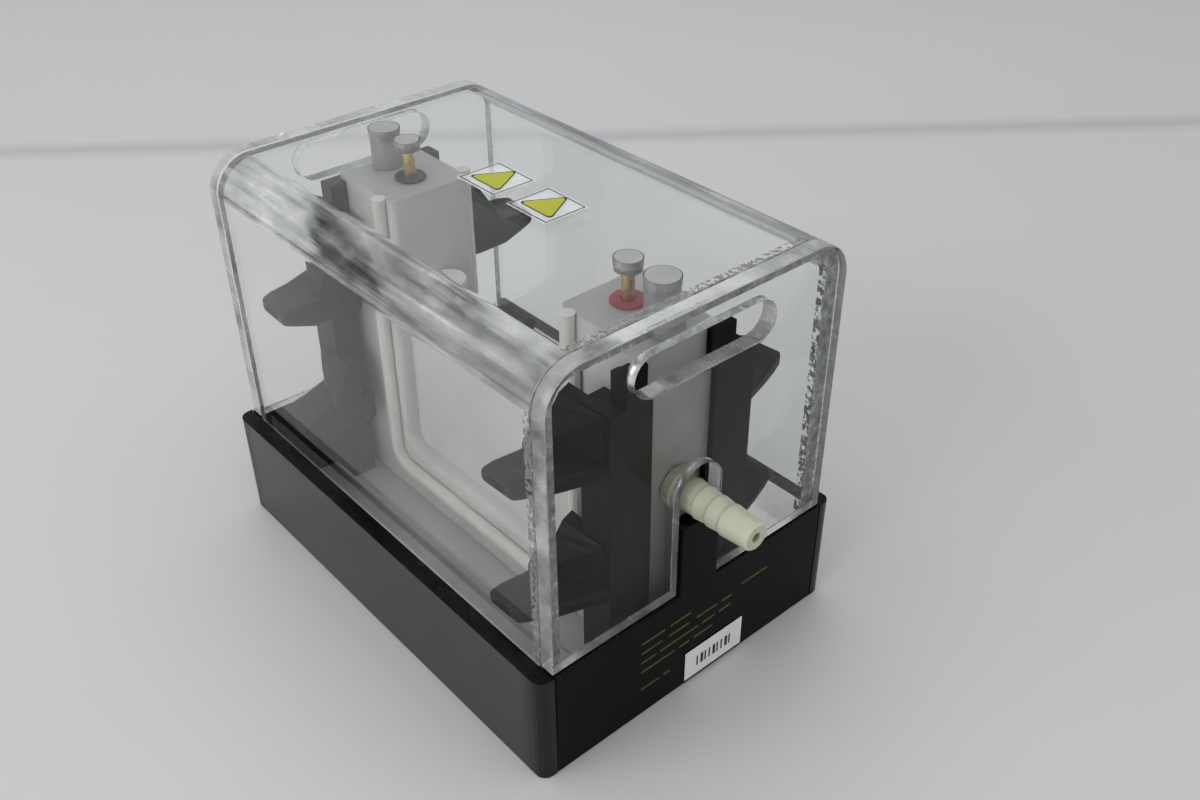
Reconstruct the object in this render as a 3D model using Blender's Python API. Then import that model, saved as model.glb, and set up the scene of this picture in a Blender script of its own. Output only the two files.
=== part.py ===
"""Two-gel vertical electrophoresis tank: tray, gel core, four clamps and a lift-off lid.

Metres, +Z up.  The origin is on the table, under the middle of the tray.  The tank's long
axis is Y, and its hose barb points along -Y.
"""
import math

import bmesh
import bpy
from mathutils import Matrix, Vector

MM = 0.001
GAP = 0.3 * MM                    # air left between pieces that touch

# Driving dimensions
TANK_LENGTH = 190 * MM            # outside of the tray along Y
TANK_WIDTH = 136 * MM             # outside of the tray along X
TRAY_HEIGHT = 44 * MM
SHEET = 6 * MM                    # every sheet in the tray and the lid
LID_TOP = 153 * MM
LID_BEND_RADIUS = 14.5 * MM       # outside of the two long bends
LID_TONGUE = 12 * MM              # how far the lid's long walls drop inside the tray
LID_END_SETBACK = 1 * MM          # lid end panel behind the tray's end face

CORE_HALF_WIDTH = 17 * MM
CORE_HALF_LENGTH = 80 * MM
CORE_TOP = 134 * MM
FOOT_THICKNESS = 4 * MM
WINDOW_HALF_LENGTH = 46 * MM
WINDOW_SILL = 33 * MM
WEB_HALF_THICKNESS = 11 * MM
WEB_TOP = 88 * MM
BOSS_HEIGHT = 11 * MM             # filler boss above the web

GASKET_RADIUS = 2.6 * MM
GASKET_LEG_Y = 52 * MM
GASKET_RUN_Z = 24 * MM
GASKET_BEND_RADIUS = 8 * MM
GASKET_STAND_OFF = 1.5 * MM       # bead centre outside the core's side face

PIN_Y = 59 * MM                   # contact pins, their washers and the lid's sockets
PIN_RADIUS = 2.2 * MM
POST_Y = 74 * MM                  # hold-down posts under the lid

BARB_HEIGHT = 80 * MM
NOTCH_HALF_WIDTH = 9 * MM
NOTCH_ARCH_Z = 85 * MM
TAB_TOP = 73 * MM

SLOT_HALF_LENGTH = 29 * MM        # hand and lead slot in each lid end
SLOT_RADIUS = 7 * MM
SLOT_Z = 137 * MM

# Worked out from the driving dimensions
TRAY_X = TANK_WIDTH / 2
TRAY_Y = TANK_LENGTH / 2
TRAY_INNER_X = TRAY_X - SHEET
TRAY_INNER_Y = TRAY_Y - SHEET
LID_X = TRAY_INNER_X - GAP
LID_END_Y = TRAY_Y - LID_END_SETBACK
LID_SHELL_Y = LID_END_Y - SHEET - GAP
LID_FLOOR_Z = TRAY_HEIGHT + GAP
LID_UNDERSIDE = LID_TOP - SHEET
CORE_BASE = SHEET + 2 * GAP + FOOT_THICKNESS


# Materials

def make_material(name, colour, roughness, metallic=0.0, alpha=1.0):
    material = bpy.data.materials.new(name)
    material.use_nodes = True
    shader = material.node_tree.nodes["Principled BSDF"]
    shader.inputs["Base Color"].default_value = (*colour, 1.0)
    shader.inputs["Roughness"].default_value = roughness
    shader.inputs["Metallic"].default_value = metallic
    shader.inputs["Alpha"].default_value = alpha
    return material


# Outlines are lists of 2-D points, anticlockwise

def arc(centre, radius, start_deg, end_deg, steps):
    points = []
    for index in range(steps + 1):
        angle = math.radians(start_deg + (end_deg - start_deg) * index / steps)
        points.append((centre[0] + radius * math.cos(angle), centre[1] + radius * math.sin(angle)))
    return points


def rectangle(low, high):
    return [(low[0], low[1]), (high[0], low[1]), (high[0], high[1]), (low[0], high[1])]


def stadium(centre, half_length, radius, steps=10):
    """A slot outline, long along its first coordinate."""
    reach = half_length - radius
    right = arc((centre[0] + reach, centre[1]), radius, -90, 90, steps)
    left = arc((centre[0] - reach, centre[1]), radius, 90, 270, steps)
    return right + left


# Solids

PLANES = {
    "X": Matrix(((0, 0, 1), (1, 0, 0), (0, 1, 0))),     # outline in YZ, extruded along X
    "Y": Matrix(((1, 0, 0), (0, 0, -1), (0, 1, 0))),    # outline in XZ, extruded along -Y
    "Z": Matrix.Identity(3),                            # outline in XY, extruded along Z
}


def face_out(mesh):
    bmesh.ops.recalc_face_normals(mesh, faces=mesh.faces)
    if mesh.calc_volume(signed=True) < 0:
        bmesh.ops.reverse_faces(mesh, faces=mesh.faces)
    return mesh


def extrude(outline, axis, low, high):
    """A prism over an outline, from low to high along the named axis."""
    turn = PLANES[axis]
    start, end = (-low, -high) if axis == "Y" else (low, high)
    if start > end:
        start, end = end, start
    mesh = bmesh.new()
    floor = [mesh.verts.new(turn @ Vector((a, b, start))) for a, b in outline]
    roof = [mesh.verts.new(turn @ Vector((a, b, end))) for a, b in outline]
    mesh.faces.new(reversed(floor))
    mesh.faces.new(roof)
    count = len(outline)
    for index in range(count):
        after = (index + 1) % count
        mesh.faces.new((floor[index], floor[after], roof[after], roof[index]))
    return face_out(mesh)


def box(low, high):
    return extrude(rectangle(low[:2], high[:2]), "Z", low[2], high[2])


def turned(profile, segments=32):
    """A closed solid turned about Z from (radius, height) points; radius 0 closes an end."""
    mesh = bmesh.new()
    rings = []
    for radius, height in profile:
        if radius == 0:
            rings.append([mesh.verts.new((0, 0, height))])
            continue
        ring = []
        for index in range(segments):
            angle = 2 * math.pi * index / segments
            ring.append(mesh.verts.new((radius * math.cos(angle), radius * math.sin(angle), height)))
        rings.append(ring)
    pairs = list(zip(rings, rings[1:]))
    if profile[0][0] != 0:
        pairs.append((rings[-1], rings[0]))
    for lower, upper in pairs:
        for index in range(segments):
            after = (index + 1) % segments
            if len(lower) == 1:
                mesh.faces.new((lower[0], upper[after], upper[index]))
            elif len(upper) == 1:
                mesh.faces.new((lower[index], lower[after], upper[0]))
            else:
                mesh.faces.new((lower[index], lower[after], upper[after], upper[index]))
    return face_out(mesh)


def loft(sections):
    """A solid through a run of 3-D rings of equal count, flat at both ends."""
    mesh = bmesh.new()
    rings = [[mesh.verts.new(point) for point in section] for section in sections]
    mesh.faces.new(rings[0])
    mesh.faces.new(rings[-1])
    count = len(rings[0])
    for first, second in zip(rings, rings[1:]):
        for index in range(count):
            after = (index + 1) % count
            mesh.faces.new((first[index], first[after], second[after], second[index]))
    return face_out(mesh)


def swept_bead(path, radius, side_x, sides=12):
    """A round bead along YZ path points, standing at side_x, with flat ends."""
    mesh = bmesh.new()
    rings = []
    last = len(path) - 1
    for index, (y, z) in enumerate(path):
        before = path[max(index - 1, 0)]
        after = path[min(index + 1, last)]
        along = Vector((0, after[0] - before[0], after[1] - before[1])).normalized()
        across = Vector((1, 0, 0))
        outward = along.cross(across)
        ring = []
        for side in range(sides):
            angle = 2 * math.pi * side / sides
            offset = radius * (math.cos(angle) * across + math.sin(angle) * outward)
            ring.append(mesh.verts.new(Vector((side_x, y, z)) + offset))
        rings.append(ring)
    for first, second in zip(rings, rings[1:]):
        for side in range(sides):
            after = (side + 1) % sides
            mesh.faces.new((first[side], first[after], second[after], second[side]))
    mesh.faces.new(rings[0])
    mesh.faces.new(rings[-1])
    return face_out(mesh)


def round_edges(mesh, chosen, width, segments=2):
    edges = [edge for edge in mesh.edges if chosen(edge)]
    bmesh.ops.bevel(mesh, geom=edges, offset=width, offset_type="OFFSET",
                    segments=segments, profile=0.5, affect="EDGES", clamp_overlap=True)
    return mesh


def runs_along(edge, axis):
    first, second = edge.verts
    along = (second.co - first.co).normalized()
    return abs(along[axis]) > 0.999


# Objects

def add_object(name, mesh, material, location=(0, 0, 0), smooth=False):
    data = bpy.data.meshes.new(name)
    mesh.to_mesh(data)
    mesh.free()
    data.materials.append(material)
    if smooth:
        data.shade_smooth()
        data.set_sharp_from_angle(angle=math.radians(35))
    item = bpy.data.objects.new(name, data)
    item.location = location
    bpy.context.collection.objects.link(item)
    return item


def add_helper(name, mesh, material):
    item = add_object(name, mesh, material)
    item.hide_render = True
    item.display_type = "WIRE"
    return item


def combine(item, helper, operation):
    modifier = item.modifiers.new(helper.name, "BOOLEAN")
    modifier.operation = operation
    modifier.solver = "EXACT"
    modifier.object = helper


def set_parent(items, parent):
    bpy.context.view_layer.update()
    for item in items:
        item.parent = parent
        item.matrix_parent_inverse = parent.matrix_world.inverted()


def add_pivot(name, location):
    pivot = bpy.data.objects.new(name, None)
    pivot.location = location
    bpy.context.collection.objects.link(pivot)
    return pivot


# Tray

def build_tray(black, grey):
    """Four black walls bonded around a grey floor; the front wall has a tab for the lid's notch."""
    corner = 4 * MM
    for name, side in (("tray_wall_left", -1), ("tray_wall_right", 1)):
        low = min(side * TRAY_INNER_X, side * TRAY_X)
        high = max(side * TRAY_INNER_X, side * TRAY_X)
        wall = box((low, -TRAY_Y, 0), (high, TRAY_Y, TRAY_HEIGHT))
        outside = side * TRAY_X
        round_edges(wall, lambda edge: runs_along(edge, 2)
                    and abs(edge.verts[0].co.x - outside) < GAP, corner, 4)
        round_edges(wall, lambda edge: runs_along(edge, 1), 0.6 * MM)
        add_object(name, wall, black)

    wall_x = TRAY_INNER_X - GAP
    tab_x = NOTCH_HALF_WIDTH - 0.5 * MM
    tabbed = [(-wall_x, 0), (wall_x, 0), (wall_x, TRAY_HEIGHT), (tab_x, TRAY_HEIGHT),
              (tab_x, TAB_TOP), (-tab_x, TAB_TOP), (-tab_x, TRAY_HEIGHT), (-wall_x, TRAY_HEIGHT)]
    add_object("tray_wall_front", extrude(tabbed, "Y", -TRAY_Y, -TRAY_INNER_Y), black)
    plain = rectangle((-wall_x, 0), (wall_x, TRAY_HEIGHT))
    add_object("tray_wall_rear", extrude(plain, "Y", TRAY_INNER_Y, TRAY_Y), black)

    floor_y = TRAY_INNER_Y - GAP
    add_object("tray_floor", box((-wall_x, -floor_y, 0), (wall_x, floor_y, SHEET)), grey)


# Gel core

def gasket_path():
    """Down one leg, round a bend, along the sill, round a bend and up the other leg."""
    bend_y = GASKET_LEG_Y - GASKET_BEND_RADIUS
    bend_z = GASKET_RUN_Z + GASKET_BEND_RADIUS
    steps = 8
    path = [(-GASKET_LEG_Y, CORE_TOP + GAP)]
    path += arc((-bend_y, bend_z), GASKET_BEND_RADIUS, 180, 270, steps)
    path += arc((bend_y, bend_z), GASKET_BEND_RADIUS, 270, 360, steps)
    path.append((GASKET_LEG_Y, CORE_TOP + GAP))
    return path


def build_core(grey, white):
    """A U-shaped block with a thinner web across its window and a gasket groove on each side."""
    foot_x = CORE_HALF_WIDTH + 12 * MM
    foot = box((-foot_x, -CORE_HALF_LENGTH - 3 * MM, SHEET + GAP),
               (foot_x, CORE_HALF_LENGTH + 3 * MM, SHEET + GAP + FOOT_THICKNESS))
    add_object("core_foot", foot, grey)

    inner_bend = 6 * MM
    window_y = WINDOW_HALF_LENGTH
    bend_y = window_y - inner_bend
    bend_z = WINDOW_SILL + inner_bend
    outline = [(-CORE_HALF_LENGTH, CORE_BASE), (CORE_HALF_LENGTH, CORE_BASE),
               (CORE_HALF_LENGTH, CORE_TOP), (window_y, CORE_TOP)]
    outline += arc((bend_y, bend_z), inner_bend, 0, -90, 6)
    outline += arc((-bend_y, bend_z), inner_bend, -90, -180, 6)
    outline += [(-window_y, CORE_TOP), (-CORE_HALF_LENGTH, CORE_TOP)]
    block = extrude(outline, "X", -CORE_HALF_WIDTH, CORE_HALF_WIDTH)

    def on_window_rim(edge):
        on_side = all(abs(abs(vert.co.x) - CORE_HALF_WIDTH) < GAP for vert in edge.verts)
        inside = all(abs(vert.co.y) < window_y + GAP and vert.co.z > WINDOW_SILL - GAP
                     for vert in edge.verts)
        across_top = all(abs(vert.co.z - CORE_TOP) < GAP for vert in edge.verts)
        return on_side and inside and not runs_along(edge, 0) and not across_top

    round_edges(block, on_window_rim, 3 * MM, 4)
    core = add_object("core_frame", block, grey)

    web_y = window_y + 4 * MM
    web = box((-WEB_HALF_THICKNESS, -web_y, WINDOW_SILL - 4 * MM),
              (WEB_HALF_THICKNESS, web_y, WEB_TOP))
    combine(core, add_helper("web_helper", web, grey), "UNION")
    boss = turned(((0, WEB_TOP - 4 * MM), (6.4 * MM, WEB_TOP - 4 * MM),
                   (6.4 * MM, WEB_TOP + BOSS_HEIGHT), (0, WEB_TOP + BOSS_HEIGHT)), 32)
    plug_y = window_y - 7 * MM
    bmesh.ops.translate(boss, verts=boss.verts, vec=(0, plug_y, 0))
    combine(core, add_helper("boss_helper", boss, grey), "UNION")
    plug = turned(((0, 0), (6.4 * MM, 0), (6.4 * MM, 1.6 * MM), (5.8 * MM, 2.2 * MM), (0, 2.2 * MM)), 32)
    add_object("filler_plug", plug, white, (0, plug_y, WEB_TOP + BOSS_HEIGHT + GAP), smooth=True)

    path = gasket_path()
    overrun = [(path[0][0], CORE_TOP + 5 * MM)] + path[1:-1] + [(path[-1][0], CORE_TOP + 5 * MM)]
    for name, side in (("left", -1), ("right", 1)):
        bead_x = side * (CORE_HALF_WIDTH + GASKET_STAND_OFF)
        groove = swept_bead(overrun, GASKET_RADIUS + GAP, bead_x)
        combine(core, add_helper("groove_helper_" + name, groove, grey), "DIFFERENCE")
        bead = swept_bead(path, GASKET_RADIUS, bead_x)
        add_object("gasket_" + name, bead, white, smooth=True)

    pin_depth = 16 * MM
    for name, side in (("front", -1), ("rear", 1)):
        hole = turned(((0, CORE_TOP - pin_depth), (PIN_RADIUS + GAP, CORE_TOP - pin_depth),
                       (PIN_RADIUS + GAP, CORE_TOP + MM), (0, CORE_TOP + MM)), 24)
        bmesh.ops.translate(hole, verts=hole.verts, vec=(0, side * PIN_Y, 0))
        combine(core, add_helper("pin_hole_helper_" + name, hole, grey), "DIFFERENCE")
    return pin_depth


def build_contacts(pin_depth, brass, washer_colours):
    """A round-nosed contact pin in each column top, in a coloured washer."""
    pin_top = CORE_TOP + 12.6 * MM
    low = CORE_TOP - pin_depth + GAP
    nose = 1.4 * MM
    pin_profile = [(0, low), (PIN_RADIUS, low), (PIN_RADIUS, pin_top - nose)]
    pin_profile += [(PIN_RADIUS - nose + r, pin_top - nose + h)
                    for r, h in arc((0, 0), nose, 22.5, 90, 3)]
    pin_profile.append((0, pin_top))
    hole = PIN_RADIUS + GAP
    washer_profile = ((hole, GAP), (5.85 * MM, GAP), (5.85 * MM, 0.9 * MM),
                      (5.4 * MM, 1.3 * MM), (hole, 1.3 * MM))
    for name, side in (("front", -1), ("rear", 1)):
        add_object("contact_pin_" + name, turned(pin_profile, 24), brass,
                   (0, side * PIN_Y, 0), smooth=True)
        add_object("contact_washer_" + name, turned(washer_profile, 32), washer_colours[name],
                   (0, side * PIN_Y, CORE_TOP), smooth=True)


def build_barb(nylon):
    """The front column's hose barb: a collar, a neck, three shallow barbs and a long nose, bored."""
    bore = 1.8 * MM
    profile = [(bore, GAP), (7.5 * MM, GAP), (7.5 * MM, 3.6 * MM), (6.9 * MM, 4.2 * MM),
               (5.4 * MM, 4.2 * MM), (5.4 * MM, 8.5 * MM)]
    barbs = 3
    pitch = 5.6 * MM
    first = 10 * MM
    for index in range(barbs):
        start = first + index * pitch
        crest = (6.1 - 0.15 * index) * MM
        profile.append((crest - 0.3 * MM, start - 1.0 * MM))
        profile.append((crest, start))
        profile.append((crest - 0.5 * MM, start + 4.2 * MM))
    nose = first + barbs * pitch
    end = nose + 11 * MM
    profile += [(5.7 * MM, nose), (4.9 * MM, end - 0.6 * MM), (4.4 * MM, end), (bore, end)]
    barb = add_object("hose_barb", turned(profile, 32), nylon,
                      (0, -CORE_HALF_LENGTH, BARB_HEIGHT), smooth=True)
    barb.rotation_euler = (math.pi / 2, 0, 0)


# Clamps

CLAMP_LOW = 10.6 * MM + GAP
CLAMP_SHOULDER = 121.5 * MM
CLAMP_TOP = 132 * MM
CLAMP_OUTER_Y = 82.6 * MM
SPINE_X = 20.6 * MM
WING_TIP_X = 55 * MM
UPPER_WING_Z = 99 * MM            # height of each wing's lower edge at its tip
LOWER_WING_Z = 49 * MM


def clamp_bar_outline(inner_y, outer_x):
    """The bar's plan: a spine beside the column, a heel on its side and a lip round its end."""
    heel_x = CORE_HALF_WIDTH + 0.4 * MM
    lip_y = CORE_HALF_LENGTH + GAP
    return [(heel_x, 76 * MM), (SPINE_X, 76 * MM), (SPINE_X, inner_y), (outer_x, inner_y),
            (outer_x, CLAMP_OUTER_Y), (13.5 * MM, CLAMP_OUTER_Y), (13.5 * MM, lip_y), (heel_x, lip_y)]


def wing_shelf(tip_z):
    """The wing's flat finger shelf: a tapering slab, deeper on the side toward the gel."""
    stations = ((22.0, 60.0, 82.4, -7.0, -1.0, 5.0, 5.0),
                (31.0, 60.0, 82.2, -7.5, 0.0, 5.0, 5.0),
                (42.0, 59.0, 78.5, -6.5, -0.5, 4.5, 4.5),
                (50.0, 58.0, 75.5, -3.0, -1.0, 4.4, 5.4),
                (WING_TIP_X / MM, 58.0, 73.5, -0.8, -0.4, 3.8, 5.2))
    sections = []
    for x, near, far, low_near, low_far, top_near, top_far in stations:
        ring = ((near, low_near), (far, low_far), (far, top_far), (near, top_near))
        sections.append([(x * MM, y * MM, tip_z + z * MM) for y, z in ring])
    solid = loft(sections)
    round_edges(solid, lambda edge: abs(edge.verts[0].co.x - edge.verts[1].co.x) > MM
                or min(vert.co.x for vert in edge.verts) > WING_TIP_X - GAP, 1.4 * MM, 2)
    return solid


def wing_gusset(tip_z):
    """The wing's upper part: a ridge that falls outward and leaves a thumb hollow at its end."""
    stations = ((27.0, 60.0, 81.0, 22.3, 22.3), (31.0, 60.0, 80.0, 20.5, 22.0),
                (33.5, 59.8, 77.0, 16.5, 19.5), (36.0, 59.5, 72.5, 12.5, 16.0),
                (38.0, 59.2, 67.5, 9.0, 11.5), (39.5, 59.0, 63.5, 5.4, 6.2))
    sections = []
    for x, near, far, top_near, top_far in stations:
        ring = ((near, 1.0), (far, 1.0), (far, top_far), (near, top_near))
        sections.append([(x * MM, y * MM, tip_z + z * MM) for y, z in ring])
    return loft(sections)


def mirrored(mesh, side_x, side_y):
    for vert in mesh.verts:
        vert.co.x *= side_x
        vert.co.y *= side_y
    return face_out(mesh)


def build_clamp(name, side_x, side_y, plastic):
    """One slide-on gel clamp, its origin on the corner of the column that it slides along."""
    corner = Vector((side_x * CORE_HALF_WIDTH, side_y * CORE_HALF_LENGTH, CLAMP_LOW))

    def placed(mesh):
        mirrored(mesh, side_x, side_y)
        bmesh.ops.translate(mesh, verts=mesh.verts, vec=-corner)
        return mesh

    bar = extrude(clamp_bar_outline(69 * MM, 30.5 * MM), "Z", CLAMP_LOW, CLAMP_SHOULDER)
    item = add_object(name, placed(bar), plastic, corner)
    neck = extrude(clamp_bar_outline(75.5 * MM, 24 * MM), "Z", CLAMP_SHOULDER - 4 * MM, CLAMP_TOP)
    extras = [("neck", neck, "UNION")]
    for label, tip_z in (("upper", UPPER_WING_Z), ("lower", LOWER_WING_Z)):
        dimple = extrude([(66 * MM + 4.8 * MM * math.cos(a), tip_z + 2 * MM + 1.6 * MM * math.sin(a))
                          for a in (2 * math.pi * step / 16 for step in range(16))],
                         "X", WING_TIP_X - 2 * MM, WING_TIP_X + 2 * MM)
        extras.append((label + "_shelf", wing_shelf(tip_z), "UNION"))
        extras.append((label + "_gusset", wing_gusset(tip_z), "UNION"))
        extras.append((label + "_dimple", dimple, "DIFFERENCE"))
    for label, mesh, operation in extras:
        helper = add_helper(name + "_" + label + "_helper", placed(mesh), plastic)
        helper.location = corner
        combine(item, helper, operation)
    return item


def build_clamps(plastic):
    for end, side_y in (("front", -1), ("rear", 1)):
        for hand, side_x in (("left", -1), ("right", 1)):
            build_clamp("clamp_" + end + "_" + hand, side_x, side_y, plastic)


# Lid

def lid_outline(low, inset=0.0):
    """The lid's outside in XZ, from its left foot over both bends to its right foot."""
    half = LID_X - inset
    radius = LID_BEND_RADIUS - inset
    bend_x = LID_X - LID_BEND_RADIUS
    bend_z = LID_TOP - LID_BEND_RADIUS
    steps = 16
    over = arc((bend_x, bend_z), radius, 0, 90, steps)
    over += arc((-bend_x, bend_z), radius, 90, 180, steps)
    return [(half, low)] + over + [(-half, low)]


def build_lid(clear, milky):
    """A bent clear sheet, two end panels, and the posts and sockets bonded through its top."""
    foot_z = TRAY_HEIGHT - LID_TONGUE
    outer = lid_outline(foot_z)
    inner = lid_outline(foot_z, SHEET)
    shell = extrude(outer + inner[::-1], "Y", -LID_SHELL_Y, LID_SHELL_Y)
    sheet = add_object("lid_shell", shell, clear, smooth=True)
    post_radius = 5.6 * MM
    socket_radius = 4.5 * MM
    low = LID_UNDERSIDE - SHEET
    high = LID_TOP + SHEET
    for name, y, radius in (("post_front", -POST_Y, post_radius), ("post_rear", POST_Y, post_radius),
                            ("socket_front", -PIN_Y, socket_radius), ("socket_rear", PIN_Y, socket_radius)):
        reach = radius + GAP
        hole = turned(((0, low), (reach, low), (reach, high), (0, high)), 32)
        cutter = add_helper(name + "_hole_helper", hole, clear)
        cutter.location = (0, y, 0)
        combine(sheet, cutter, "DIFFERENCE")
    pieces = [sheet]

    bore_ends = (("front", -LID_END_Y, -LID_END_Y + SHEET), ("rear", LID_END_Y - SHEET, LID_END_Y))
    for name, low, high in bore_ends:
        outline = lid_outline(LID_FLOOR_Z)
        if name == "front":
            notch = arc((0, NOTCH_ARCH_Z), NOTCH_HALF_WIDTH, 180, 0, 16)
            outline += [(-NOTCH_HALF_WIDTH, LID_FLOOR_Z)] + notch + [(NOTCH_HALF_WIDTH, LID_FLOOR_Z)]
        panel = add_object("lid_end_" + name, extrude(outline, "Y", low, high), clear, smooth=True)
        slot = extrude(stadium((0, SLOT_Z), SLOT_HALF_LENGTH, SLOT_RADIUS), "Y",
                       low - SHEET, high + SHEET)
        combine(panel, add_helper("slot_helper_" + name, slot, clear), "DIFFERENCE")
        pieces.append(panel)

    foot = CORE_TOP + 0.4 * MM
    post = ((0, foot), (post_radius, foot), (post_radius, LID_TOP), (0, LID_TOP))
    mouth = LID_UNDERSIDE - 1.8 * MM
    bore_end = LID_TOP - 4.8 * MM
    bore = PIN_RADIUS + 0.4 * MM
    cup = ((0, bore_end), (bore, bore_end), (bore, mouth), (socket_radius, mouth),
           (socket_radius, LID_TOP), (0, LID_TOP))
    for name, side in (("front", -1), ("rear", 1)):
        pieces.append(add_object("lid_post_" + name, turned(post, 32), milky,
                                 (0, side * POST_Y, 0), smooth=True))
        pieces.append(add_object("lid_socket_" + name, turned(cup, 32), milky,
                                 (0, side * PIN_Y, 0), smooth=True))
    return pieces


def build_stickers(yellow, white):
    """Two square stickers on the lid and a blank plate sticker on the tray's front face."""
    thickness = 0.3 * MM
    low = LID_TOP + GAP
    pieces = []
    for name, y_range in (("front", (-27, -7)), ("rear", (0, 20))):
        sticker = box((-6 * MM, y_range[0] * MM, low), (12 * MM, y_range[1] * MM, low + thickness))
        pieces.append(add_object("lid_sticker_" + name, sticker, yellow))
    face = -TRAY_Y - GAP
    plate = box((-5 * MM, face - thickness, 2 * MM), (23 * MM, face, 15 * MM))
    add_object("tray_sticker", plate, white)
    return pieces


def main():
    for item in list(bpy.data.objects):
        bpy.data.objects.remove(item, do_unlink=True)
    black = make_material("black_acrylic", (0.012, 0.012, 0.013), 0.12)
    grey = make_material("grey_pvc", (0.47, 0.48, 0.46), 0.45)
    white = make_material("white_silicone", (0.78, 0.78, 0.74), 0.5)
    plastic = make_material("black_plastic", (0.035, 0.036, 0.038), 0.4)
    clear = make_material("clear_acrylic", (0.93, 0.95, 0.95), 0.03, alpha=0.25)
    milky = make_material("milky_acrylic", (0.86, 0.87, 0.86), 0.35, alpha=0.8)
    nylon = make_material("natural_nylon", (0.72, 0.73, 0.6), 0.4)
    brass = make_material("brass", (0.62, 0.45, 0.2), 0.3, metallic=1.0)
    washers = {"front": make_material("red_washer", (0.5, 0.04, 0.07), 0.4),
               "rear": make_material("black_washer", (0.05, 0.05, 0.055), 0.4)}
    yellow = make_material("sticker_film", (0.8, 0.78, 0.1), 0.4)

    build_tray(black, grey)
    pin_depth = build_core(grey, white)
    build_contacts(pin_depth, brass, washers)
    build_barb(nylon)
    build_clamps(plastic)
    lid = build_lid(clear, milky) + build_stickers(yellow, white)
    set_parent(lid, add_pivot("lid_pivot", (0, 0, LID_FLOOR_Z)))


main()
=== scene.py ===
"""Looks for the gel electrophoresis tank: finishes, edge detail, stickers, floor, light and camera."""
import math

import bmesh
import bpy
from mathutils import Matrix, Vector


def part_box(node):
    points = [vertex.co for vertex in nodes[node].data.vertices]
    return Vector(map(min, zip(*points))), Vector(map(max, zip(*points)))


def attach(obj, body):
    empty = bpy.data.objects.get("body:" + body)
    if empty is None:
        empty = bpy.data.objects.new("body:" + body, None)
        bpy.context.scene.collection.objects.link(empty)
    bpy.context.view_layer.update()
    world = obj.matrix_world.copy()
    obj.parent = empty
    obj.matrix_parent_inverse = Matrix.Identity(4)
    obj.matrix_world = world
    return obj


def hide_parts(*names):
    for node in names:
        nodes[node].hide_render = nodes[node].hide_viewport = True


MM = 0.001

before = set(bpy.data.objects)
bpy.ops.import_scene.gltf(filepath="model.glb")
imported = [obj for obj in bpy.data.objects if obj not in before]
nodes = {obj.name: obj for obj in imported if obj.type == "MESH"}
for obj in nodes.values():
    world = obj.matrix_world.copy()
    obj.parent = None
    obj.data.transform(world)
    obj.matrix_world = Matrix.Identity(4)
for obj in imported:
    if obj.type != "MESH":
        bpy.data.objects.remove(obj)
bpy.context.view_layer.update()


def add_item(name, data):
    item = bpy.data.objects.new(name, data)
    bpy.context.scene.collection.objects.link(item)
    return item


def bmesh_data(mesh, name):
    """Turns a finished bmesh into mesh data and frees it."""
    data = bpy.data.meshes.new(name)
    mesh.to_mesh(data)
    mesh.free()
    return data


# Node helpers

def new_material(name):
    material = bpy.data.materials.new(name)
    material.use_nodes = True
    tree = material.node_tree
    return material, tree, tree.nodes["Principled BSDF"]


def texture_space(tree, scale=(1, 1, 1)):
    coord = tree.nodes.new("ShaderNodeTexCoord")
    mapping = tree.nodes.new("ShaderNodeMapping")
    mapping.inputs["Scale"].default_value = scale
    tree.links.new(coord.outputs["Object"], mapping.inputs["Vector"])
    return mapping.outputs["Vector"]


def noise(tree, vector, scale, detail=4.0, roughness=0.55, distortion=0.0):
    node = tree.nodes.new("ShaderNodeTexNoise")
    node.inputs["Scale"].default_value = scale
    node.inputs["Detail"].default_value = detail
    node.inputs["Roughness"].default_value = roughness
    node.inputs["Distortion"].default_value = distortion
    tree.links.new(vector, node.inputs["Vector"])
    return node.outputs["Fac"]


def ramp(tree, fac, stops):
    node = tree.nodes.new("ShaderNodeValToRGB")
    elements = node.color_ramp.elements
    while len(elements) < len(stops):
        elements.new(0.5)
    for element, (place, colour) in zip(elements, stops):
        element.position = place
        element.color = (*colour, 1) if len(colour) == 3 else colour
    tree.links.new(fac, node.inputs["Fac"])
    return node.outputs["Color"]


def remap(tree, fac, low, high, from_low=0.0, from_high=1.0):
    node = tree.nodes.new("ShaderNodeMapRange")
    node.inputs["From Min"].default_value = from_low
    node.inputs["From Max"].default_value = from_high
    node.inputs["To Min"].default_value = low
    node.inputs["To Max"].default_value = high
    tree.links.new(fac, node.inputs["Value"])
    return node.outputs["Result"]


def combine_values(tree, kind, first, second):
    node = tree.nodes.new("ShaderNodeMath")
    node.operation = kind
    for socket, value in zip(node.inputs, (first, second)):
        if isinstance(value, (int, float)):
            socket.default_value = value
        else:
            tree.links.new(value, socket)
    return node.outputs["Value"]


def shade_by_cloud(tree, shader, cloud, colours, rough, span=(0.3, 0.7)):
    """Colour and roughness that drift from a first value to a second with the cloud noise."""
    stops = tuple(zip(span, colours))
    tree.links.new(ramp(tree, cloud, stops), shader.inputs["Base Color"])
    tree.links.new(remap(tree, cloud, *rough, 0.3, 0.7), shader.inputs["Roughness"])


def scatter_inside(shader, weight, radius):
    shader.inputs["Subsurface Weight"].default_value = weight
    shader.inputs["Subsurface Radius"].default_value = radius
    shader.inputs["Subsurface Scale"].default_value = 1.0


def add_bump(tree, shader, height, strength, distance):
    node = tree.nodes.new("ShaderNodeBump")
    node.inputs["Strength"].default_value = strength
    node.inputs["Distance"].default_value = distance
    tree.links.new(height, node.inputs["Height"])
    tree.links.new(node.outputs["Normal"], shader.inputs["Normal"])


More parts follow.
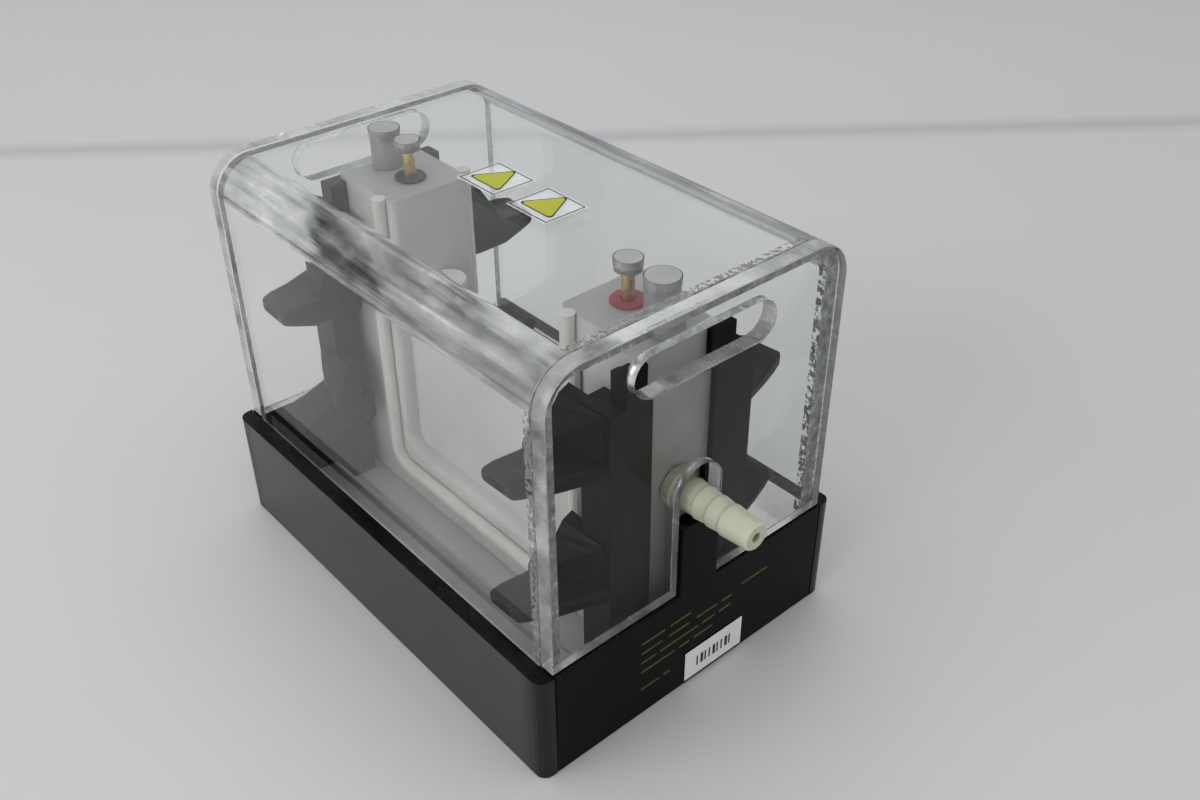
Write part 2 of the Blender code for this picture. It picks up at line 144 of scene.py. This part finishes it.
def hairlines(tree, vector_scale, scale, threshold):
    """Thin scratches: 1 on a hairline and 0 off it."""
    space = texture_space(tree, vector_scale)
    field = noise(tree, space, scale, 2.0, 0.5, 0.6)
    near = combine_values(tree, "ABSOLUTE", combine_values(tree, "SUBTRACT", field, 0.5), 0.0)
    return remap(tree, near, 1.0, 0.0, 0.0, threshold)


def end_band(tree, start, full, front_only=False):
    """1 near the tank's ends along Y, or near the front end alone, and 0 between them."""
    coord = tree.nodes.new("ShaderNodeTexCoord")
    split = tree.nodes.new("ShaderNodeSeparateXYZ")
    tree.links.new(coord.outputs["Object"], split.inputs["Vector"])
    if front_only:
        along = combine_values(tree, "MULTIPLY", split.outputs["Y"], -1.0)
    else:
        along = combine_values(tree, "ABSOLUTE", split.outputs["Y"], 0)
    return remap(tree, along, 0.0, 1.0, start, full)


# Finishes

def clear_acrylic(name="acrylic_clear", gloss=0.5, ior=1.49):
    material, tree, shader = new_material(name)
    shader.inputs["Base Color"].default_value = (0.985, 0.99, 0.985, 1)
    shader.inputs["Transmission Weight"].default_value = 1.0
    shader.inputs["Specular IOR Level"].default_value = gloss
    shader.inputs["IOR"].default_value = ior
    space = texture_space(tree)
    smear = noise(tree, space, 22, 5.0, 0.6)
    scratch = hairlines(tree, (1, 5, 1), 70, 0.004)
    haze = remap(tree, smear, 0.0, 0.035, 0.45, 0.8)
    rough = combine_values(tree, "ADD", haze, combine_values(tree, "MULTIPLY", scratch, 0.05))
    tree.links.new(rough, shader.inputs["Roughness"])
    add_bump(tree, shader, noise(tree, space, 30, 2.0), 0.02, 0.0005)
    return material


def glued_acrylic():
    """The bent sheet's clear acrylic, with a speckled line of glue where the front end panel joins it."""
    material = clear_acrylic("acrylic_clear_glued")
    tree = material.node_tree
    shader = tree.nodes["Principled BSDF"]
    speckle = remap(tree, noise(tree, texture_space(tree), 620, 3.0, 0.6), 0.0, 1.0, 0.44, 0.52)
    glue = combine_values(tree, "MULTIPLY", end_band(tree, 0.0846, 0.0850, front_only=True), speckle)
    tree.links.new(ramp(tree, glue, ((0, (0.985, 0.99, 0.985)), (1, (0.22, 0.22, 0.22)))),
                   shader.inputs["Base Color"])
    tree.links.new(remap(tree, glue, 1.0, 0.25), shader.inputs["Transmission Weight"])
    return material


def frosted_edge(name, stretch, light, dark, clear, grain):
    """A cut edge of a clear sheet: pale and frosted, with saw streaks and glue patches."""
    material, tree, shader = new_material(name)
    shader.inputs["IOR"].default_value = 1.49
    streaks = noise(tree, texture_space(tree, stretch), 300, 3.0, 0.55)
    patches = noise(tree, texture_space(tree), 38, 4.0, 0.6)
    mixed = combine_values(tree, "ADD", combine_values(tree, "MULTIPLY", streaks, grain),
                           combine_values(tree, "MULTIPLY", patches, 1.0 - grain))
    tree.links.new(ramp(tree, mixed, ((0.36, dark), (0.52, light), (0.64, (0.95, 0.955, 0.95)))),
                   shader.inputs["Base Color"])
    tree.links.new(remap(tree, patches, clear - 0.2, clear + 0.25, 0.35, 0.65),
                   shader.inputs["Transmission Weight"])
    tree.links.new(remap(tree, streaks, 0.1, 0.3, 0.35, 0.65), shader.inputs["Roughness"])
    add_bump(tree, shader, streaks, 0.2, 0.0003)
    return material


def painted_reflection_bend():
    """The bent corners of the lid: painted reflection, pale and grey streaks along the bend with less light
    let through, over a streaked rough surface.
    """
    material, tree, shader = new_material("acrylic_bend_painted_reflection")
    shader.inputs["IOR"].default_value = 1.49
    streaks = noise(tree, texture_space(tree, (1, 0.05, 1)), 260, 4.0, 0.6)
    patches = noise(tree, texture_space(tree, (1, 0.6, 1)), 40, 5.0, 0.7)
    mixed = combine_values(tree, "MULTIPLY", streaks, patches)
    # Painted reflection: the streaked pale and grey colour and the lower transmission.
    tree.links.new(ramp(tree, mixed, ((0.16, (0.36, 0.365, 0.365)), (0.34, (0.84, 0.845, 0.845)))),
                   shader.inputs["Base Color"])
    tree.links.new(remap(tree, mixed, 0.92, 0.55, 0.16, 0.4), shader.inputs["Transmission Weight"])
    tree.links.new(remap(tree, streaks, 0.05, 0.28, 0.3, 0.7), shader.inputs["Roughness"])
    add_bump(tree, shader, streaks, 0.3, 0.0003)
    return material


def clear_film():
    """The lid stickers' backing: clear film, a little hazy where it has lifted."""
    material, tree, shader = new_material("film_clear")
    cloud = noise(tree, texture_space(tree), 160, 4.0, 0.6)
    shade_by_cloud(tree, shader, cloud, ((0.86, 0.87, 0.87), (0.93, 0.94, 0.94)), (0.15, 0.3))
    tree.links.new(remap(tree, cloud, 0.2, 0.34, 0.3, 0.7), shader.inputs["Alpha"])
    return material


def black_acrylic(name, gloss, dark, light, ends=1.0):
    """Glossy black sheet, scratched and hazed. `ends` paints shade on it next to the end walls, for the dark
    borders of its reflection at the rounded corners.
    """
    material, tree, shader = new_material(name)
    shader.inputs["Specular IOR Level"].default_value = gloss
    space = texture_space(tree)
    cloud = noise(tree, space, 14, 4.0, 0.6)
    # Painted shade: the colour darkens next to the end walls by the factor `ends`.
    shade = combine_values(tree, "MULTIPLY", cloud, remap(tree, end_band(tree, 0.084, 0.0895), 1.0, ends))
    tint = ramp(tree, shade, ((0, (0.002, 0.002, 0.002)), (0.3, dark), (0.75, light)))
    tree.links.new(tint, shader.inputs["Base Color"])
    scratch = hairlines(tree, (1, 1, 6), 60, 0.006)
    haze = remap(tree, noise(tree, space, 45, 5.0, 0.65), 0.05, 0.17, 0.4, 0.75)
    rough = combine_values(tree, "ADD", haze, combine_values(tree, "MULTIPLY", scratch, 0.18))
    tree.links.new(rough, shader.inputs["Roughness"])
    shader.inputs["IOR"].default_value = 1.49
    add_bump(tree, shader, noise(tree, space, 12, 2.0), 0.05, 0.001)
    return material


def black_sawn():
    """The top edges of the black sheets: glossy black, scratched, with a few pale chips."""
    material, tree, shader = new_material("acrylic_black_sawn")
    space = texture_space(tree)
    chips = noise(tree, space, 300, 5.0, 0.75)
    wear = noise(tree, texture_space(tree, (1, 0.35, 1)), 90, 5.0, 0.7)
    mixed = combine_values(tree, "MULTIPLY", chips, wear)
    tint = ramp(tree, mixed, ((0.3, (0.006, 0.006, 0.006)), (0.38, (0.035, 0.034, 0.03)),
                              (0.46, (0.16, 0.155, 0.14))))
    tree.links.new(tint, shader.inputs["Base Color"])
    tree.links.new(remap(tree, wear, 0.1, 0.4, 0.3, 0.7), shader.inputs["Roughness"])
    shader.inputs["Specular IOR Level"].default_value = 0.35
    add_bump(tree, shader, chips, 0.2, 0.0003)
    return material


def grey_pvc(name="pvc_grey", light=(0.74, 0.742, 0.72), dark=(0.64, 0.642, 0.625)):
    material, tree, shader = new_material(name)
    space = texture_space(tree)
    cloud = noise(tree, space, 26, 5.0, 0.6)
    shade_by_cloud(tree, shader, cloud, (dark, light), (0.32, 0.5), (0.32, 0.68))
    mill = noise(tree, texture_space(tree, (1, 1, 8)), 260, 3.0, 0.5)
    add_bump(tree, shader, mill, 0.12, 0.0003)
    return material


def inside_faces_painted_glow():
    """The tray's long inner faces: pale between the end walls and black where the walls meet. The pale part
    carries painted light: a raised colour and a painted glow.
    """
    material, tree, shader = new_material("pale_inside_painted_glow")
    inside = remap(tree, end_band(tree, 0.0872, 0.0876), 1.0, 0.0)
    cloud = remap(tree, noise(tree, texture_space(tree), 26, 5.0, 0.6), 0.8, 1.0, 0.3, 0.7)
    shade = combine_values(tree, "MULTIPLY", inside, cloud)
    tree.links.new(ramp(tree, shade, ((0, (0.006, 0.006, 0.006)), (1, (0.9, 0.9, 0.89)))),
                   shader.inputs["Base Color"])
    # Painted glow: the pale part gives off light, though it is no lamp.
    shader.inputs["Emission Color"].default_value = (0.9, 0.9, 0.9, 1)
    tree.links.new(combine_values(tree, "MULTIPLY", shade, 0.36), shader.inputs["Emission Strength"])
    shader.inputs["Roughness"].default_value = 0.4
    return material


def white_silicone():
    material, tree, shader = new_material("silicone_white")
    space = texture_space(tree)
    cloud = noise(tree, space, 60, 4.0, 0.6)
    shade_by_cloud(tree, shader, cloud, ((0.76, 0.75, 0.7), (0.86, 0.855, 0.82)), (0.42, 0.6))
    scatter_inside(shader, 0.25, (0.004, 0.003, 0.002))
    add_bump(tree, shader, noise(tree, space, 420, 2.0), 0.08, 0.0002)
    return material


def black_plastic():
    material, tree, shader = new_material("plastic_black")
    space = texture_space(tree)
    cloud = noise(tree, space, 35, 5.0, 0.6)
    colours = ((0.005, 0.0052, 0.0055), (0.01, 0.0105, 0.011))
    shade_by_cloud(tree, shader, cloud, colours, (0.34, 0.5), (0.3, 0.72))
    shader.inputs["Specular IOR Level"].default_value = 0.25
    add_bump(tree, shader, noise(tree, space, 300, 2.0), 0.04, 0.0002)
    return material


def milky_acrylic():
    """The lid's posts, sockets and bonded holes: turned acrylic, grey and half clear."""
    material, tree, shader = new_material("acrylic_milky")
    cloud = noise(tree, texture_space(tree), 90, 4.0, 0.6)
    shade_by_cloud(tree, shader, cloud, ((0.5, 0.505, 0.5), (0.6, 0.605, 0.6)), (0.28, 0.5))
    shader.inputs["Transmission Weight"].default_value = 0.4
    shader.inputs["IOR"].default_value = 1.45
    turning = noise(tree, texture_space(tree, (1, 1, 14)), 260, 2.0)
    add_bump(tree, shader, turning, 0.2, 0.0003)
    return material


def natural_nylon():
    material, tree, shader = new_material("nylon_natural")
    space = texture_space(tree)
    cloud = noise(tree, space, 80, 4.0, 0.6)
    shade_by_cloud(tree, shader, cloud, ((0.5, 0.515, 0.41), (0.6, 0.612, 0.51)), (0.3, 0.45))
    scatter_inside(shader, 0.35, (0.004, 0.0035, 0.002))
    add_bump(tree, shader, noise(tree, space, 300, 2.0), 0.08, 0.0003)
    return material


def gilt_brass():
    material, tree, shader = new_material("brass_gilt")
    cloud = noise(tree, texture_space(tree), 300, 4.0, 0.6)
    shade_by_cloud(tree, shader, cloud, ((0.55, 0.36, 0.14), (0.8, 0.58, 0.28)), (0.22, 0.4))
    shader.inputs["Metallic"].default_value = 1.0
    return material


def moulded(name, dark, light, rough=0.35):
    """A plain opaque finish for small parts, film and print."""
    material, tree, shader = new_material(name)
    space = texture_space(tree)
    cloud = noise(tree, space, 140, 4.0, 0.6)
    shade_by_cloud(tree, shader, cloud, (dark, light), (rough - 0.06, rough + 0.1))
    add_bump(tree, shader, noise(tree, space, 700, 2.0), 0.06, 0.0002)
    return material


CLEAR = glued_acrylic()
CLEAR_PANEL = clear_acrylic("acrylic_clear_panel", 0.2, 1.3)
PANEL_EDGE = frosted_edge("acrylic_edge_polished", (1, 0.12, 1), (0.84, 0.845, 0.84), (0.66, 0.665, 0.66),
                          0.6, 0.3)
SHELL_END = frosted_edge("acrylic_edge_glued", (1, 1, 1), (0.72, 0.72, 0.71), (0.36, 0.36, 0.36), 0.4, 0.6)
# The side walls take a lighter black than the end walls, a painted reflection of the bright table, with
# painted shade near their ends.
SIDE_BLACK_PAINTED_REFLECTION = black_acrylic("acrylic_black_painted_reflection", 0.85, (0.028, 0.028, 0.029), (0.045, 0.045, 0.046), 0.1)
BLACK_END = black_acrylic("acrylic_black_end", 0.22, (0.003, 0.003, 0.0035), (0.008, 0.008, 0.0085))
BLACK_CUT = black_sawn()
PVC = grey_pvc()
FLOOR_PVC = grey_pvc("pvc_floor", (0.66, 0.665, 0.65), (0.58, 0.585, 0.575))
PALE_INSIDE_PAINTED_GLOW = inside_faces_painted_glow()
# Painted shade: darker grey for the core frame's end faces.
PVC_END_PAINTED_SHADE = grey_pvc("pvc_grey_end_painted_shade", (0.5, 0.5, 0.475), (0.38, 0.38, 0.36))
# Painted shade: darker grey for the core frame's top faces.
PVC_TOP_PAINTED_SHADE = grey_pvc("pvc_grey_top_painted_shade", (0.52, 0.522, 0.51), (0.45, 0.452, 0.443))
SILICONE = white_silicone()
CLAMP = black_plastic()
MILKY = milky_acrylic()
NYLON = natural_nylon()
BRASS = gilt_brass()
RED = moulded("washer_red", (0.36, 0.02, 0.05), (0.5, 0.035, 0.07))
BLACK_RING = moulded("washer_black", (0.02, 0.02, 0.022), (0.04, 0.04, 0.043))
BEND_PAINTED_REFLECTION = painted_reflection_bend()
FILM_CLEAR = clear_film()
FILM_WHITE = moulded("film_white", (0.76, 0.76, 0.75), (0.83, 0.83, 0.82), 0.4)
FILM_YELLOW = moulded("film_yellow", (0.37, 0.38, 0.035), (0.43, 0.44, 0.06), 0.35)
OLIVE = moulded("print_olive", (0.075, 0.08, 0.012), (0.14, 0.15, 0.02), 0.4)
FILM_DARK = moulded("film_dark", (0.03, 0.03, 0.03), (0.06, 0.06, 0.06), 0.4)


# Shapes

def arc(centre, radius, start, end, steps):
    points = []
    for index in range(steps + 1):
        angle = math.radians(start + (end - start) * index / steps)
        points.append((centre[0] + radius * math.cos(angle), centre[1] + radius * math.sin(angle)))
    return points


def plate(name, loops, y_low, y_high, edge, materials, split=None):
    """A sheet standing in XZ between two Y values, its outline edges rounded by `edge`."""
    curve = bpy.data.curves.new(name + "_curve", "CURVE")
    curve.dimensions = "2D"
    curve.fill_mode = "BOTH"
    curve.extrude = (y_high - y_low) / 2 - edge
    curve.bevel_depth = edge
    curve.bevel_resolution = 2
    curve.offset = -edge
    for loop in loops:
        spline = curve.splines.new("POLY")
        spline.points.add(len(loop) - 1)
        spline.use_cyclic_u = True
        for point, (x, z) in zip(spline.points, loop):
            point.co = (x, z, 0, 1)
    holder = add_item(name + "_holder", curve)
    bpy.context.view_layer.update()
    mesh = bpy.data.meshes.new_from_object(holder)
    bpy.data.objects.remove(holder)
    bpy.data.curves.remove(curve)
    mesh.transform(Matrix.Translation((0, (y_low + y_high) / 2, 0)) @ Matrix.Rotation(math.pi / 2, 4, "X"))
    shaped = bmesh.new()
    shaped.from_mesh(mesh)
    bmesh.ops.remove_doubles(shaped, verts=shaped.verts, dist=1e-6)
    bmesh.ops.recalc_face_normals(shaped, faces=shaped.faces)
    if shaped.calc_volume(signed=True) < 0:
        bmesh.ops.reverse_faces(shaped, faces=shaped.faces)
    shaped.to_mesh(mesh)
    shaped.free()
    mesh.materials.clear()
    for material in materials:
        mesh.materials.append(material)
    if split:
        for face in mesh.polygons:
            face.material_index = split(face)
    mesh.shade_smooth()
    mesh.set_sharp_from_angle(angle=math.radians(40))
    return add_item(name, mesh)


def set_flat_normals(item, bend=None):
    """Gives broad faces their exact normals, and the bends round ones, so they refract as true sheets."""
    mesh = item.data
    normals = [Vector(corner.vector) for corner in mesh.corner_normals]
    for face in mesh.polygons:
        square = max(abs(value) for value in face.normal) > 0.9999
        for corner, vertex in zip(face.loop_indices, face.vertices):
            if square:
                normals[corner] = Vector(face.normal)
            elif bend and abs(face.normal.y) < 0.01:
                x, _, z = mesh.vertices[vertex].co
                away = Vector((math.copysign(max(abs(x) - bend[0], 0), x), 0, max(z - bend[1], 0)))
                away.normalize()
                normals[corner] = away if away.dot(face.normal) > 0 else -away
    mesh.normals_split_custom_set(normals)


def weight_normals(item):
    """Keeps broad faces optically flat next to their rounded edges."""
    modifier = item.modifiers.new("weighted_normals", "WEIGHTED_NORMAL")
    modifier.weight = 100
    modifier.keep_sharp = True


def finish_node(name, *materials):
    item = nodes[name]
    item.data.materials.clear()
    for material in materials:
        item.data.materials.append(material)
    item.data.shade_smooth()
    item.data.set_sharp_from_angle(angle=math.radians(32))
    weight_normals(item)


# Lid

SHEET = 6 * MM
BEND = 14.5 * MM
BOND_GAP = 0.3 * MM
NOTCH_HALF_WIDTH = 9 * MM
NOTCH_CENTRE = 85 * MM
SLOT_RADIUS = 7 * MM
SLOT_HALF_LENGTH = 22 * MM
SLOT_CENTRE = 137 * MM
shell_low, shell_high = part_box("lid_shell")


def bend_outline(half_x, foot_z, top_z, radius, steps=20):
    cx = half_x - radius
    cz = top_z - radius
    return [(half_x, foot_z)] + arc((cx, cz), radius, 0, 90, steps) \
        + arc((-cx, cz), radius, 90, 180, steps) + [(-half_x, foot_z)]


def bore_shell(shell):
    """The holes in the lid's top that the posts and sockets are bonded into."""
    cutters = []
    for node in ("lid_post_front", "lid_post_rear", "lid_socket_front", "lid_socket_rear"):
        low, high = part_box(node)
        mesh = bmesh.new()
        reach = (high.x - low.x) / 2 + BOND_GAP
        bmesh.ops.create_cone(mesh, cap_ends=True, segments=40, depth=4 * SHEET,
                              radius1=reach, radius2=reach)
        cutter = add_item(node + "_hole", bmesh_data(mesh, node + "_hole"))
        cutter.location = (0, (low.y + high.y) / 2, shell_high.z)
        cutters.append(cutter)
        modifier = shell.modifiers.new(node, "BOOLEAN")
        modifier.operation = "DIFFERENCE"
        modifier.solver = "EXACT"
        modifier.object = cutter
    bpy.context.view_layer.update()
    cut = bpy.data.meshes.new_from_object(shell.evaluated_get(bpy.context.evaluated_depsgraph_get()))
    cut.materials.append(MILKY)
    for face in cut.polygons:
        upright = abs(face.normal.z) < 0.1 and abs(face.normal.y) < 0.9999
        if upright and abs(face.center.x) < 10 * MM:
            face.material_index = 3
    shell.modifiers.clear()
    shell.data = cut
    for cutter in cutters:
        bpy.data.objects.remove(cutter)


def build_lid():
    half_x = shell_high.x
    outer = bend_outline(half_x, shell_low.z, shell_high.z, BEND)
    inner = bend_outline(half_x - SHEET, shell_low.z, shell_high.z - SHEET, BEND - SHEET)
    ends = (shell_low.y, shell_high.y)

    def shell_finish(face):
        if abs(face.normal.y) > 0.5:
            return 1
        on_bend = abs(face.normal.x) > 0.05 and face.normal.z > 0.05
        return 2 if on_bend else 0

    shell = plate("lid_bent_sheet", [outer + inner[::-1]], ends[0], ends[1], 0.25 * MM,
                  (CLEAR, SHELL_END, BEND_PAINTED_REFLECTION), shell_finish)
    bore_shell(shell)
    set_flat_normals(shell, (half_x - BEND, shell_high.z - BEND))
    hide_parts("lid_shell")
    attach(shell, "lid")

    def panel_finish(face):
        return 1 if abs(face.normal.y) < 0.8 else 0

    for node, panel_name in (("lid_end_front", "lid_front_panel"), ("lid_end_rear", "lid_rear_panel")):
        low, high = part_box(node)
        outline = bend_outline(high.x, low.z, high.z, BEND)
        if node == "lid_end_front":
            outline.append((-NOTCH_HALF_WIDTH, low.z))
            outline += arc((0, NOTCH_CENTRE), NOTCH_HALF_WIDTH, 180, 0, 20)
            outline.append((NOTCH_HALF_WIDTH, low.z))
        slot = arc((SLOT_HALF_LENGTH, SLOT_CENTRE), SLOT_RADIUS, 90, -90, 16)
        slot += arc((-SLOT_HALF_LENGTH, SLOT_CENTRE), SLOT_RADIUS, 270, 90, 16)
        panel = plate(panel_name, [outline, slot], low.y, high.y, 0.6 * MM, (CLEAR_PANEL, PANEL_EDGE),
                      panel_finish)
        set_flat_normals(panel)
        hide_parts(node)
        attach(panel, "lid")


# Tray

WALL_TOP = 44 * MM
TAB_HALF_WIDTH = 8.5 * MM


def build_tray():
    def cut_faces(face):
        return 1 if face.normal.z > 0.7 else 0

    for node, name in (("tray_wall_front", "tray_front"), ("tray_wall_rear", "tray_rear")):
        low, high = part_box(node)
        outline = [(low.x, low.z), (high.x, low.z)]
        if node == "tray_wall_front":
            outline += [(high.x, WALL_TOP), (TAB_HALF_WIDTH, WALL_TOP), (TAB_HALF_WIDTH, high.z),
                        (-TAB_HALF_WIDTH, high.z), (-TAB_HALF_WIDTH, WALL_TOP), (low.x, WALL_TOP)]
        else:
            outline += [(high.x, high.z), (low.x, high.z)]
        wall = plate(name, [outline], low.y, high.y, 0.5 * MM, (BLACK_END, BLACK_CUT), cut_faces)
        set_flat_normals(wall)
        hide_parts(node)
        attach(wall, "tank")
    for node, inward in (("tray_wall_left", 1), ("tray_wall_right", -1)):
        finish_node(node, SIDE_BLACK_PAINTED_REFLECTION, BLACK_CUT, PALE_INSIDE_PAINTED_GLOW)
        for face in nodes[node].data.polygons:
            if face.normal.x * inward > 0.9:
                face.material_index = 2
            elif face.normal.z > 0.9:
                face.material_index = 1
            else:
                face.material_index = 0
    finish_node("tray_floor", FLOOR_PVC)
    finish_node("tray_sticker", FILM_WHITE)


# Stickers and print

FILM_LIFT = 0.02 * MM
PRINT_LIFT = 0.03 * MM
FRAME_INSET = 0.6 * MM
FRAME_LINE = 0.45 * MM
TRIANGLE_ROUND = 1.2 * MM
TRIANGLE_OFFSET = 0.6 * MM


def flat_piece(name, corners, material, body):
    """One flat printed shape that rides on a body."""
    mesh = bmesh.new()
    mesh.faces.new([mesh.verts.new(corner) for corner in corners])
    data = bmesh_data(mesh, name)
    data.materials.append(material)
    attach(add_item(name, data), body)


def build_stickers():
    """The frame line and the blank triangle on each of the lid's stickers."""
    triangles = (("rim", 8.6 * MM, 2 * FILM_LIFT, FILM_DARK), ("fill", 7.7 * MM, 3 * FILM_LIFT, FILM_YELLOW))
    for node in ("lid_sticker_front", "lid_sticker_rear"):
        finish_node(node, FILM_CLEAR)
        low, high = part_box(node)
        left, front = low.x + FRAME_INSET, low.y + FRAME_INSET
        right, back = high.x - FRAME_INSET, high.y - FRAME_INSET
        edges = ((left, front, right, front + FRAME_LINE), (left, back - FRAME_LINE, right, back),
                 (left, front, left + FRAME_LINE, back), (right - FRAME_LINE, front, right, back))
        for index, (x0, y0, x1, y1) in enumerate(edges):
            corners = [(x, y, high.z + FILM_LIFT) for x, y in ((x0, y0), (x1, y0), (x1, y1), (x0, y1))]
            flat_piece(node + "_line_" + str(index), corners, FILM_DARK, "lid")
        mid_x = (low.x + high.x) / 2 - TRIANGLE_OFFSET
        mid_y = (low.y + high.y) / 2
        for label, size, lift, material in triangles:
            corners = []
            for turn in (0, 120, 240):
                reach = size - TRIANGLE_ROUND
                centre = (mid_x + reach * math.cos(math.radians(turn)),
                          mid_y + reach * math.sin(math.radians(turn)))
                rounded = arc(centre, TRIANGLE_ROUND, turn - 60, turn + 60, 5)
                corners += [(x, y, high.z + lift) for x, y in rounded]
            flat_piece(node + "_triangle_" + label, corners, material, "lid")


def front_bar(name, left, right, low, high, y, material):
    corners = ((left, y, low), (right, y, low), (right, y, high), (left, y, high))
    flat_piece(name, corners, material, "tank")


def build_front_marks():
    """Blank dashes and bars in place of the tray's printed lines and its label's code."""
    dash_height = 1.0 * MM
    rows = ((33.0, ((-25.5, -15), (-12.5, -3))),
            (28.6, ((-25.5, -16), (-13, -3.5), (0, 10), (12, 17))),
            (24.3, ((-25.5, -19), (-17, 1), (2.5, 9), (11, 17))),
            (19.9, ((-25.5, -10), (-8, -3), (-1, 8))),
            (11.6, ((-25.5, -17), (-15, -12))),
            (30.6, ((22, 35),)))
    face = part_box("tray_wall_front")[0].y - PRINT_LIFT
    for row, (height, dashes) in enumerate(rows):
        for index, (left, right) in enumerate(dashes):
            front_bar("dash_" + str(row) + "_" + str(index), left * MM, right * MM,
                      height * MM, height * MM + dash_height, face, OLIVE)
    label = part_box("tray_sticker")[0]
    for index in range(9):
        left = label.x + (5.5 + 2.0 * index) * MM
        width = (1.3 if index % 3 == 1 else 0.7) * MM
        front_bar("label_bar_" + str(index), left, left + width, label.z + 4.0 * MM, label.z + 8.6 * MM,
                  label.y - PRINT_LIFT, FILM_DARK)


def dress_nodes():
    """Finishes for the nodes whose CAD shape is shown as it is."""
    finish_node("core_frame", PVC, PVC_END_PAINTED_SHADE, PVC_TOP_PAINTED_SHADE)
    _, core_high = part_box("core_frame")
    for face in nodes["core_frame"].data.polygons:
        # Painted shade: end faces and top faces take the darker grey copies, the other faces the lit grey.
        if abs(face.normal.y) > 0.9 and abs(face.center.y) > 0.07:
            face.material_index = 1
        elif face.normal.z > 0.9 and face.center.z > core_high.z - MM:
            face.material_index = 2
        else:
            face.material_index = 0
    finish_node("core_foot", FLOOR_PVC)
    for name in ("gasket_left", "gasket_right", "filler_plug"):
        finish_node(name, SILICONE)
    finish_node("contact_washer_front", RED)
    finish_node("contact_washer_rear", BLACK_RING)
    for end in ("front", "rear"):
        finish_node("contact_pin_" + end, BRASS)
        finish_node("lid_post_" + end, MILKY)
        finish_node("lid_socket_" + end, MILKY)
        for hand in ("left", "right"):
            finish_node("clamp_" + end + "_" + hand, CLAMP)
    finish_node("hose_barb", NYLON)


# Stage

# The tone curve's points between black and white: deeper blacks, open mid greys.
TONE = ((0.05, 0.024), (0.12, 0.08), (0.25, 0.215), (0.45, 0.45))
CAMERA_PLACE = Vector((-221.5, -299.3, 329.3)) * MM
CAMERA_YAW = 0.718
CAMERA_PITCH = 0.611
CAMERA_ROLL = -0.005
CREASE_DIRECTION = (0.619, 0.785, 0)
CREASE_DISTANCE = 0.405


def table_material():
    """Matt pale paper with a soft darker line of painted shade where it starts to rise behind the tank."""
    material, tree, shader = new_material("table_white_painted_crease_shade")
    coord = tree.nodes.new("ShaderNodeTexCoord")
    across = tree.nodes.new("ShaderNodeVectorMath")
    across.operation = "DOT_PRODUCT"
    across.inputs[1].default_value = CREASE_DIRECTION
    tree.links.new(coord.outputs["Object"], across.inputs[0])
    beyond = combine_values(tree, "SUBTRACT", across.outputs["Value"], CREASE_DISTANCE)
    offset = combine_values(tree, "ABSOLUTE", beyond, 0)
    # Painted shade: a soft darker line along the crease.
    line = remap(tree, offset, 1.0, 0.0, 0.0, 0.016)
    cloud = remap(tree, noise(tree, texture_space(tree), 3, 3.0, 0.5), 0.0, 0.15, 0.3, 0.7)
    shade = combine_values(tree, "ADD", combine_values(tree, "MULTIPLY", line, 0.85), cloud)
    tree.links.new(ramp(tree, shade, ((0, (0.56, 0.56, 0.565)), (1, (0.43, 0.43, 0.435)))),
                   shader.inputs["Base Color"])
    shader.inputs["Roughness"].default_value = 0.5
    return material


def build_stage():
    mesh = bmesh.new()
    bmesh.ops.create_grid(mesh, x_segments=1, y_segments=1, size=3.0)
    data = bmesh_data(mesh, "table")
    data.materials.append(table_material())
    table = add_item("table", data)


def area_light(name, location, target, size, power):
    data = bpy.data.lights.new(name, "AREA")
    data.shape = "RECTANGLE"
    data.size = size[0]
    data.size_y = size[1]
    data.energy = power
    item = add_item(name, data)
    item.location = location
    item.rotation_euler = (Vector(target) - Vector(location)).to_track_quat("-Z", "Y").to_euler()


def build_light():
    settings = bpy.context.scene.view_settings
    settings.view_transform = "Standard"
    settings.use_curve_mapping = True
    tone = settings.curve_mapping.curves[3]
    for place, value in TONE:
        tone.points.new(place, value)
    settings.curve_mapping.update()
    world = bpy.data.worlds.new("soft_room")
    bpy.context.scene.world = world
    world.use_nodes = True
    background = world.node_tree.nodes["Background"]
    background.inputs["Color"].default_value = (0.96, 0.98, 1.0, 1)
    background.inputs["Strength"].default_value = 0.6
    area_light("ceiling_panel", (0.05, 0.0, 1.3), (0, 0, 0.05), (1.6, 1.2), 6.0)
    area_light("window_left", (-1.5, 0.15, 0.7), (0, 0, 0.08), (1.6, 1.1), 14.0)


def build_camera():
    right = Vector((math.cos(CAMERA_YAW), -math.sin(CAMERA_YAW), 0))
    level = Vector((math.sin(CAMERA_YAW), math.cos(CAMERA_YAW), 0))
    forward = level * math.cos(CAMERA_PITCH) - Vector((0, 0, math.sin(CAMERA_PITCH)))
    up = right.cross(forward)
    tilted = right * math.cos(CAMERA_ROLL) + up * math.sin(CAMERA_ROLL)
    raised = up * math.cos(CAMERA_ROLL) - right * math.sin(CAMERA_ROLL)
    pose = Matrix((tilted, raised, -forward)).transposed().to_4x4()
    pose.translation = CAMERA_PLACE
    data = bpy.data.cameras.new("camera")
    data.lens = 36.92
    data.sensor_width = 36
    data.clip_start = 0.01
    camera = add_item("camera", data)
    camera.matrix_world = pose
    bpy.context.scene.camera = camera


build_lid()
build_tray()
build_stickers()
build_front_marks()
dress_nodes()
build_stage()
build_light()
build_camera()
